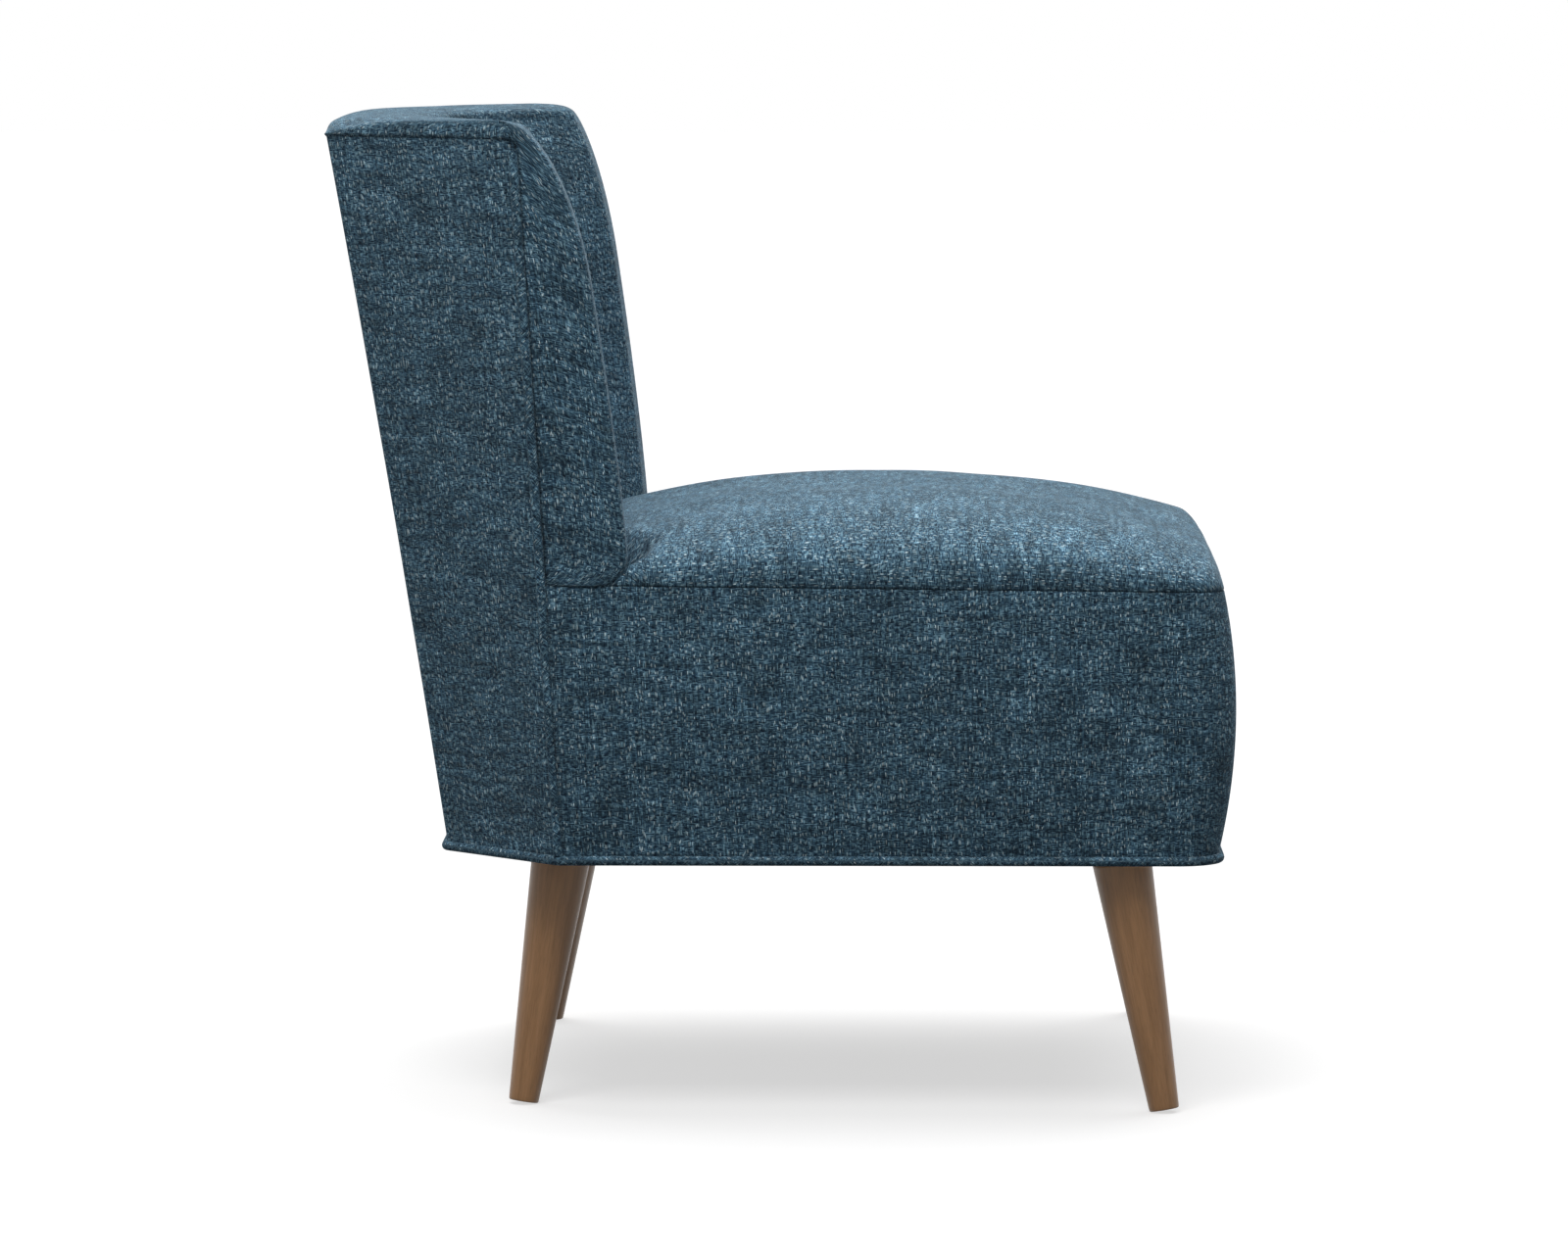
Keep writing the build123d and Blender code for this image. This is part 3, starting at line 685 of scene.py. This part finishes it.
def back_half(z, inset, outer_inset, side):
    """Half of the back's section in two runs: rear middle to seam, and seam to inside middle."""
    seam = np.array([seam_half, seam_y(z)])
    corner = np.array([rear_half, rear_y(z)])
    run = (corner - seam) / np.linalg.norm(corner - seam)
    inward = np.array([-run[1], run[0]])
    seam_at = seam + inward * outer_inset
    corner_at = seam_at + run * ((corner[1] - outer_inset - seam_at[1]) / run[1])
    rear_at = np.array([0.0, corner[1] - outer_inset])
    outer = np.concatenate([np.linspace(rear_at, corner_at, rear_points)[:-1],
                            np.linspace(corner_at, seam_at, side_points)])

    tip_y = rim_y(z, side) + inset
    band_y = tip_y + rim_round
    share = np.linspace(0, 1, band_points) ** band_crowding
    y = seam_at[1] + (band_y - seam_at[1]) * share
    x = side_x(y, z) - inset + wing_band_bulge * np.sin(share * math.pi * band_bulge_turn)
    x -= band_dip * (1 - smooth(0, cord_radius + 1, seam_at[1] - y))
    band = np.column_stack([x, y])
    band[0] = seam_at
    tip = np.array([rim_half + rim_turn - inset * rim_narrowing, tip_y + rim_slant])
    edge_x, lead_y = band[-1][0], tip_y - rim_front_lead
    front = bezier((band[-1], (edge_x, lead_y), (edge_x - rim_front_reach, lead_y), tip), front_points)
    rise = (z - back_foot) / (panel_top - back_foot)
    middle = back_inner_foot_y + (back_inner_top_y - back_inner_foot_y) * rise + inset
    half = rim_half - rim_turn - inset * rim_narrowing
    sag = middle - tip[1] - rim_turn / 2
    radius = (half**2 + sag**2) / (2 * sag)
    angles = np.linspace(math.asin(half / radius), 0, arc_points)
    arc = np.column_stack([radius * np.sin(angles), middle - radius + radius * np.cos(angles)])
    run_in = np.array([-math.cos(angles[0]), math.sin(angles[0])])
    turn = bezier((tip, tip - np.array([rim_turn, 0]), arc[0] - run_in * rim_turn, arc[0]), turn_points)
    inner = np.concatenate([band, front[1:], turn[1:], arc[1:]])
    return [np.column_stack([line[:, 0] * side, line[:, 1], np.full(len(line), z)])
            for line in (outer, inner)]


def domed(outer, inner, turn, side):
    """The back's outer and inner lines drawn together over its rounded top, by a turn from upright."""
    middle = (outer + inner[::-1]) / 2
    near_end = np.clip(1 - np.linalg.norm(outer - middle, axis=1) / ridge_end, 0, 1)
    rise = roll_rise * math.sin(turn) * np.sqrt(1 - near_end**2)
    tip = np.argmin(inner[:, 1])
    at_tip = np.exp(-((np.arange(len(inner)) - tip) / tip_reach) ** 2)
    closing = (1 - math.cos(turn)) ** ridge_fullness
    at_corner = np.exp(-((np.arange(len(outer)) - rear_points + 1) / corner_reach) ** 2)[:, None]
    fullness = ridge_fullness + (corner_fullness - ridge_fullness) * at_corner
    over = outer + (middle - outer) * (1 - math.cos(turn)) ** fullness
    under = inner + (middle[::-1] - inner) * closing
    retreat = rim_y(panel_top + roll_rise * math.sin(turn), side) - rim_y(panel_top, side)
    under[:, 1] += retreat * at_tip * (1 - closing)
    over[:, 2] += rise
    under[:, 2] += rise[::-1]
    return [over, under]


def closed_end(outer, inner):
    """An end of the back, closed between its outer and inner lines."""
    shares = np.linspace(0, 1, 6)[:, None, None]
    points = outer[None] * (1 - shares) + inner[None, ::-1] * shares
    return points, points[..., :2], np.zeros(points.shape[:2])


def make_back_pad():
    """The padded shell of the back: flat outer faces, two wings, the inside curve and the top roll."""
    levels = []
    for z in np.concatenate([back_foot + seam_roll * eased(7)[:-1],
                             np.linspace(back_foot + seam_roll, panel_top - 12, wall_levels),
                             np.linspace(panel_top - 8, panel_top, 5)]):
        hem = float(rolled(z - back_foot, seam_roll))
        above = float(smooth(panel_top - 7, panel_top, z))
        hold = pad_clearance * (1 - above) + hem - roll_bulge * above
        levels.append([line for side in (1, -1) for line in back_half(z, hem, hold, side)])
    walls = len(levels)
    seam_lines = levels[-1]
    for turn in np.radians(np.linspace(0, roll_turn, roll_levels)[1:]):
        levels.append(domed(*seam_lines[:2], turn, 1) + domed(*seam_lines[2:], turn, -1))
    points = np.array([np.concatenate([left_out, left_in[1:], right_in[-2::-1], right_out[-2::-1]])
                       for left_out, left_in, right_out, right_in in levels])
    along = run_lengths(points)
    middle = points.shape[1] // 2
    along -= along[:, middle:middle + 1]
    along[walls:] = along[walls - 1]
    tip = len(levels[0][0]) - 1 + np.argmin(seam_lines[1][:, 1])
    to_tip = np.abs(along[:, tip:tip + 1])
    straight = float(np.mean(to_tip))
    yarn = np.where(np.abs(along) < to_tip, along * straight / to_tip,
                    along + np.sign(along) * (straight - to_tip))
    up = run_lengths(points.transpose(1, 0, 2)).T
    outside = len(levels[0][0]) - 1
    from_seam = np.min([np.abs(along - along[:, seam:seam + 1])
                        for seam in (outside, points.shape[1] - 1 - outside)], axis=0)
    from_foot = points[..., 2] - back_foot
    from_roll = np.abs(points[..., 2] - panel_top)
    inside = np.zeros(points.shape[1], dtype=bool)
    inside[outside:-outside] = True
    # Painted shade at the foot, beside the wing cords and under the top roll's seam, faded out towards the
    # wing seams; none on the inside of the roll.
    fading = smooth(0, top_seam_fade, from_seam)
    shade = np.maximum(shaded(from_foot),
                       np.where(inside, shaded(from_seam, cord_radius), shaded(from_roll) * fading))
    shade[walls:] = np.where(inside, 0, shade[walls:])
    grids = [(points, np.stack([yarn, up], axis=2), shade)]
    for left_out, left_in, right_out, right_in in (levels[0], levels[-1]):
        grids += [closed_end(left_out, left_in), closed_end(right_out, right_in)]
    piece = finish(sew("back_pad", grids), "back_pad", fabric, "cover_fabric", "inside_back_cover",
                   "back_foam")


def make_panel(name, start, stop, cord_edge, puff, seed, nodes, rests_on):
    """A tight panel between two upright edges, each given as a plan point at a height."""
    rows, columns = 120, 70
    low, high = base_height + cord_radius, panel_top
    z = low + (high - low) * eased(rows)
    t = eased(columns)
    left = np.array([start(h) for h in z])
    right = np.array([stop(h) for h in z])
    plan = left[:, None] * (1 - t[None, :, None]) + right[:, None] * t[None, :, None]
    run = right - left
    wide = np.linalg.norm(run, axis=1)
    out = np.column_stack([run[:, 1], -run[:, 0]]) / wide[:, None]
    flat = np.concatenate([plan, np.repeat(z[:, None, None], columns, axis=1)], axis=2)
    from_sides = np.minimum(t, 1 - t)[None] * wide[:, None]
    from_top = np.repeat((high - z)[:, None], columns, axis=1)
    to_edge = np.minimum(from_sides, from_top)
    # Painted shade under the top seam and above the base cord, and beside the wing cord where there is one.
    shade = np.maximum(shaded(from_top), shaded(np.repeat((z - low)[:, None], columns, axis=1), cord_radius))
    full = np.sin(math.pi * t)[None] ** 0.5 * np.sin(math.pi * (z - low) / (high - low))[:, None] ** 0.5
    lift = puff * full - rolled(to_edge, seam_roll) + ripple(flat, *panel_wave, seed) * full
    if cord_edge is not None:
        from_seam = (t if cord_edge == 0 else 1 - t)[None] * wide[:, None]
        shade = np.maximum(shade, shaded(from_seam, cord_radius))
        lift -= cord_dip * (1 - smooth(cord_radius, cord_radius + 5, from_seam))
    face = flat.copy()
    face[..., :2] += out[:, None] * lift[..., None]
    lining = flat.copy()
    lining[..., :2] -= out[:, None] * (seam_roll + cover_thickness)
    lining[..., :2] += out[:, None] * np.maximum(lift, -seam_roll)[..., None]
    cloth = np.stack([t[None] * wide[:, None], np.repeat(z[:, None], columns, axis=1)], axis=2)
    piece = finish(sew(name, lined(face, lining, cloth, shade)), name, fabric, "cover_fabric", *nodes)


def make_panels():
    """The two side panels and the outside back."""
    for side, word in ((1, "left"), (-1, "right")):
        def seam_edge(z):
            return np.array([side * seam_half, seam_y(z)])

        def corner_edge(z):
            return np.array([side * rear_half, rear_y(z)])

        edges = (seam_edge, corner_edge) if side > 0 else (corner_edge, seam_edge)
        make_panel(f"{word}_side_panel", *edges, 0 if side > 0 else 1, side_puff, side_seed + side,
                   [f"{word}_side_cover"], [f"{word}_side_board"])
    make_panel("rear_panel", lambda z: np.array([rear_half, rear_y(z)]),
               lambda z: np.array([-rear_half, rear_y(z)]), None, rear_puff, rear_seed,
               ["outside_back_cover"], ["outside_back_board"])


# Cords and staples
def geometry_tree(name, *inputs):
    """A geometry tree with a geometry in and out and named sizes, and its input and output nodes."""
    tree = bpy.data.node_groups.new(name, "GeometryNodeTree")
    tree.interface.new_socket("Geometry", in_out="INPUT", socket_type="NodeSocketGeometry")
    for size in inputs:
        tree.interface.new_socket(size, in_out="INPUT", socket_type="NodeSocketFloat")
    tree.interface.new_socket("Geometry", in_out="OUTPUT", socket_type="NodeSocketGeometry")
    return tree, add(tree, "NodeGroupInput").outputs


def cord_tree():
    """A round cord along a line, with its cloth measured along and round it."""
    tree, given = geometry_tree("covered_cord", "Radius", "Step")
    line = add(tree, "GeometryNodeResampleCurve", {"Curve": given["Geometry"], "Length": given["Step"]},
               mode="LENGTH")
    along = add(tree, "GeometryNodeSplineParameter")
    marked = tree.nodes.new("GeometryNodeCaptureAttribute")
    marked.capture_items.new("FLOAT", "Along")
    tree.links.new(line.outputs[0], marked.inputs[0])
    tree.links.new(along.outputs["Length"], marked.inputs[1])
    ring = add(tree, "GeometryNodeCurvePrimitiveCircle", {"Resolution": 16, "Radius": given["Radius"]})
    round_ring = tree.nodes.new("GeometryNodeCaptureAttribute")
    round_ring.capture_items.new("FLOAT", "Round")
    tree.links.new(ring.outputs[0], round_ring.inputs[0])
    tree.links.new(along.outputs["Length"], round_ring.inputs[1])
    body = add(tree, "GeometryNodeCurveToMesh",
               {"Curve": marked.outputs[0], "Profile Curve": round_ring.outputs[0], "Fill Caps": True})
    cloth = add(tree, "ShaderNodeCombineXYZ", {"X": round_ring.outputs[1], "Y": marked.outputs[1]})
    laid = add(tree, "GeometryNodeStoreNamedAttribute",
               {"Geometry": body.outputs[0], "Name": "weave", "Value": cloth.outputs[0]},
               data_type="FLOAT2", domain="CORNER")
    soft = add(tree, "GeometryNodeSetShadeSmooth", {"Geometry": laid.outputs[0]})
    whole = add(tree, "GeometryNodeRealizeInstances", {"Geometry": soft.outputs[0]})
    dressed = add(tree, "GeometryNodeSetMaterial",
                  {"Geometry": whole.outputs[0], "Material": bias_fabric})
    add(tree, "NodeGroupOutput", {"Geometry": dressed.outputs[0]})
    return tree


def staple_tree():
    """Wire staples spaced along a line, each lying across it."""
    tree, given = geometry_tree("staples", "Spacing", "Width", "Wire")
    places = add(tree, "GeometryNodeCurveToPoints",
                 {"Curve": given["Geometry"], "Length": given["Spacing"]}, mode="LENGTH")
    size = add(tree, "ShaderNodeCombineXYZ",
               {"X": given["Wire"], "Y": given["Wire"], "Z": given["Width"]})
    crown = add(tree, "GeometryNodeMeshCube", {"Size": size.outputs[0]})
    laid = add(tree, "GeometryNodeInstanceOnPoints",
               {"Points": places.outputs[0], "Instance": crown.outputs[0],
                "Rotation": places.outputs["Rotation"]})
    whole = add(tree, "GeometryNodeRealizeInstances", {"Geometry": laid.outputs[0]})
    dressed = add(tree, "GeometryNodeSetMaterial", {"Geometry": whole.outputs[0], "Material": wire})
    add(tree, "NodeGroupOutput", {"Geometry": dressed.outputs[0]})
    return tree


def rounded_line(points, radii):
    """A closed plan line with an arc at each corner."""
    line = []
    for before, corner, after, radius in zip(points[-1:] + points[:-1], points, points[1:] + points[:1],
                                             radii):
        back = (before - corner).normalized()
        ahead = (after - corner).normalized()
        half_turn = back.angle(ahead) / 2
        centre = corner + (back + ahead).normalized() * (radius / math.sin(half_turn))
        reach = radius / math.tan(half_turn)
        first, last = corner + back * reach - centre, corner + ahead * reach - centre
        for share in np.linspace(0, 1, 9):
            line.append(centre + first.slerp(last, share).normalized() * radius)
    return line


def plan_line(inset, front_radius, z):
    """The chair's plan drawn in by inset at a height, as a closed line with rounded corners."""
    half, front = seam_half - inset, front_seam_y + front_tuck + inset
    seam, corner = Vector((seam_half, seam_y(z))), Vector((rear_half, rear_y(z)))
    run = (corner - seam).normalized()
    start = seam + Vector((-run.y, run.x)) * inset
    side = start + run * ((half - start.x) / run.x)
    rear = start + run * ((corner.y - inset - start.y) / run.y)
    left = [Vector((half, front)), side, rear]
    right = [Vector((-p.x, p.y)) for p in reversed(left)]
    radii = [front_radius, cord_corner_radius, cord_corner_radius]
    return rounded_line(left + right, radii + radii[::-1])


def along_line(name, points, closed, tree, sizes):
    """A mesh made by a geometry tree along a line of points, with its sizes by input name."""
    curve = bpy.data.curves.new(name, "CURVE")
    curve.dimensions = "3D"
    spline = curve.splines.new("POLY")
    spline.points.add(len(points) - 1)
    for place, point in zip(spline.points, points):
        place.co = (*(Vector(point) * MM), 1.0)
    spline.use_cyclic_u = closed
    path = bpy.data.objects.new(name + "_line", curve)
    bpy.context.scene.collection.objects.link(path)
    maker = path.modifiers.new(name, "NODES")
    maker.node_group = tree
    for socket in tree.interface.items_tree:
        if socket.in_out == "INPUT" and socket.name in sizes:
            maker[socket.identifier] = sizes[socket.name] * MM
    bpy.context.view_layer.update()
    evaluated = path.evaluated_get(bpy.context.evaluated_depsgraph_get())
    mesh = bpy.data.meshes.new_from_object(evaluated)
    bpy.data.objects.remove(path)
    return mesh


def make_cords():
    """The covered cord round the bottom edge and the one in each wing seam."""
    tree = cord_tree()
    sizes = {"Radius": cord_radius, "Step": cord_step}
    z = base_height + cord_radius
    base = [Vector((p.x, p.y, z)) for p in plan_line(cord_sink, front_corner_radius, z)]
    mesh = along_line("base_cord", base, True, tree, sizes)
    finish(mesh, "base_cord", bias_fabric, "cover_fabric", "base_welt")
    for side, word in ((1, "left"), (-1, "right")):
        heights = (wing_cord_low.z, wing_cord_high.z)
        ends = [Vector((side * seam_half, seam_y(h), h)) for h in heights]
        mesh = along_line(f"{word}_wing_cord", ends, False, tree, sizes)
        finish(mesh, f"{word}_wing_cord", bias_fabric, "cover_fabric", f"{word}_wing_welt")


def make_dust_cover():
    """The cloth under the seat, sagging a little, and the staples that hold it."""
    inset = seam_half - dust_high.x
    z = dust_low.z
    rows, columns = 60, 60
    y = np.linspace(dust_low.y, dust_high.y, rows)
    half = np.minimum(seat_half(y) - inset, side_x(y + inset * 0.5, z) - inset)
    s = np.linspace(-1, 1, columns)
    x = half[:, None] * s[None]
    sag = dust_sag * (1 - s[None] ** 2) * (1 - (2 * np.linspace(0, 1, rows)[:, None] - 1) ** 2)
    face = np.stack([x, np.repeat(y[:, None], columns, axis=1), z - sag], axis=2)
    lining = face + np.array([0, 0, dust_high.z - dust_low.z])
    cloth = face[..., :2]
    mesh = sew("dust_sheet", lined(face, lining, cloth, np.zeros(face.shape[:2])))
    piece = finish(mesh, "dust_sheet", spunbond, "dust_cloth", "dust_cover")
    stapled = plan_line(inset + staple_inset, front_corner_radius - inset, z)
    line = [Vector((p.x, p.y, z - staple_gap)) for p in stapled]
    mesh = along_line("dust_staples", line, True, staple_tree(), staple_sizes)
    finish(mesh, "dust_staples", wire, "plated_steel")


# Legs
def leg_ends(node):
    """Middle of a leg's top and of its foot, from its box."""
    low, high = node_box(node)
    outward = 1 if low.x > 0 else -1
    forward = -1 if low.y < 0 else 1
    far_x, near_x = (high.x, low.x) if outward > 0 else (low.x, high.x)
    far_y, near_y = (low.y, high.y) if forward < 0 else (high.y, low.y)
    top = Vector((near_x + outward * leg_top_radius, near_y + forward * leg_top_radius, high.z))
    foot = Vector((far_x - outward * leg_foot_radius, far_y - forward * leg_foot_radius, 0.0))
    return top, foot


def make_leg(node, name):
    """A round leg that tapers to a square-cut foot with a softened edge."""
    top, foot = leg_ends(node)
    axis = (top - foot).normalized()
    lean = math.sqrt(1 - axis.z**2)
    foot = foot + Vector((0, 0, leg_foot_radius * lean - leg_foot_sink))
    length = (top - foot).length
    across = Vector((0, 0, 1)).cross(axis).normalized()
    ahead = axis.cross(across)
    stations = [(leg_foot_bevel * (1 - math.sin(t)), leg_foot_radius - leg_foot_bevel * (1 - math.cos(t)))
                for t in np.linspace(math.pi / 2, 0, leg_bevel_rings)]
    stations += [(t * length, leg_foot_radius + (leg_top_radius - leg_foot_radius) * t)
                 for t in np.linspace(0.02, 1, leg_rings)]
    stations = [(0.0, 0.01), (0.0, leg_foot_radius * 0.6)] + stations
    bm = bmesh.new()
    rings, grain = [], []
    for along, radius in stations:
        ring = []
        for k in range(leg_sides):
            turn = 2 * math.pi * k / leg_sides
            local = Vector((radius * math.cos(turn), radius * math.sin(turn), along))
            point = foot + across * local.x + ahead * local.y + axis * along
            if along == stations[-1][0]:
                point += axis * ((top.z - point.z) / axis.z)
            point.z = max(point.z, 0.0)
            ring.append(bm.verts.new(point * MM))
            grain.append(local + Vector((top.x, top.y, 0)))
        rings.append(ring)
    for lower, upper in zip(rings, rings[1:]):
        for k in range(leg_sides):
            after = (k + 1) % leg_sides
            face = bm.faces.new((lower[k], lower[after], upper[after], upper[k]))
            face.smooth = True
    bm.faces.new(rings[-1])
    bm.faces.new(rings[0][::-1])
    bmesh.ops.recalc_face_normals(bm, faces=bm.faces)
    mesh = bpy.data.meshes.new(name)
    bm.to_mesh(mesh)
    bm.free()
    mesh.attributes.new("grain", "FLOAT_VECTOR", "POINT").data.foreach_set(
        "vector", np.array([g * MM for g in grain], dtype=np.float32).ravel())
    finish(mesh, name, walnut, "leg_wood", node)


def make_legs():
    """The four turned legs."""
    for side in ("left", "right"):
        for end in ("front", "rear"):
            make_leg(f"{side}_{end}_leg", f"{side}_{end}_turned_leg")


# Setting
def seen_directly(tree):
    """1 where the camera, a reflection or a clear surface sees a background, 0 where it only lights."""
    seen = add(tree, "ShaderNodeLightPath").outputs
    direct = seen["Is Camera Ray"]
    for way in ("Is Glossy Ray", "Is Transmission Ray"):
        direct = add(tree, "ShaderNodeMath", {0: direct, 1: seen[way]}, operation="MAXIMUM").outputs[0]
    return direct


def make_setting():
    """White sweep, soft overhead light and the picture's camera."""
    scene = bpy.context.scene
    scene.view_settings.view_transform = "Standard"
    material, tree = new_material("white_paper_sweep")
    direct = seen_directly(tree)
    dim = add(tree, "ShaderNodeBsdfDiffuse", {"Color": linear("#383838")})
    paper = add(tree, "ShaderNodeBsdfDiffuse", {"Color": (0.5, 0.5, 0.5, 1)})
    glow = add(tree, "ShaderNodeEmission", {"Color": (1, 1, 1, 1), "Strength": paper_glow})
    lit = add(tree, "ShaderNodeAddShader", {0: paper.outputs[0], 1: glow.outputs[0]})
    both = add(tree, "ShaderNodeMixShader", {0: direct, 1: dim.outputs[0], 2: lit.outputs[0]})
    add(tree, "ShaderNodeOutputMaterial", {"Surface": both.outputs[0]})
    bpy.ops.mesh.primitive_plane_add(size=60)
    floor = bpy.context.active_object
    floor.name = "floor"
    floor.data.materials.append(material)

    world = bpy.data.worlds.new("studio")
    scene.world = world
    world.use_nodes = True
    tree = world.node_tree
    tree.nodes.clear()
    direct = seen_directly(tree)
    room = add(tree, "ShaderNodeBackground", {"Color": (1, 1, 1, 1), "Strength": room_strength})
    white = add(tree, "ShaderNodeBackground", {"Color": (1, 1, 1, 1), "Strength": 1.0})
    both = add(tree, "ShaderNodeMixShader", {0: direct, 1: room.outputs[0], 2: white.outputs[0]})
    add(tree, "ShaderNodeOutputWorld", {"Surface": both.outputs[0]})

    light = bpy.data.lights.new("overhead_bank", "SUN")
    light.energy = overhead_strength
    light.angle = math.radians(overhead_spread)
    lamp = bpy.data.objects.new("overhead_bank", light)
    lamp.rotation_euler = Vector(overhead_way).to_track_quat("-Z", "Y").to_euler()
    scene.collection.objects.link(lamp)

    light = bpy.data.lights.new("side_softbox", "AREA")
    light.shape = "SQUARE"
    light.size = softbox_size
    light.energy = softbox_power
    lamp = bpy.data.objects.new("side_softbox", light)
    lamp.location = softbox_place
    lamp.rotation_euler = (Vector(softbox_aim) - lamp.location).to_track_quat("-Z", "Y").to_euler()
    scene.collection.objects.link(lamp)

    camera = bpy.data.objects.new("camera", bpy.data.cameras.new("camera"))
    camera.location = Vector(camera_place) * MM
    aim = Vector(camera_aim) * MM
    camera.rotation_euler = (aim - camera.location).to_track_quat("-Z", "Y").to_euler()
    camera.data.sensor_width = 36.0
    camera.data.lens = camera_lens
    camera.data.clip_end = 60.0
    scene.collection.objects.link(camera)
    scene.camera = camera


dress_frame()
make_seat_cushion()
make_seat_border()
make_back_pad()
make_panels()
make_cords()
make_dust_cover()
make_legs()
make_setting()
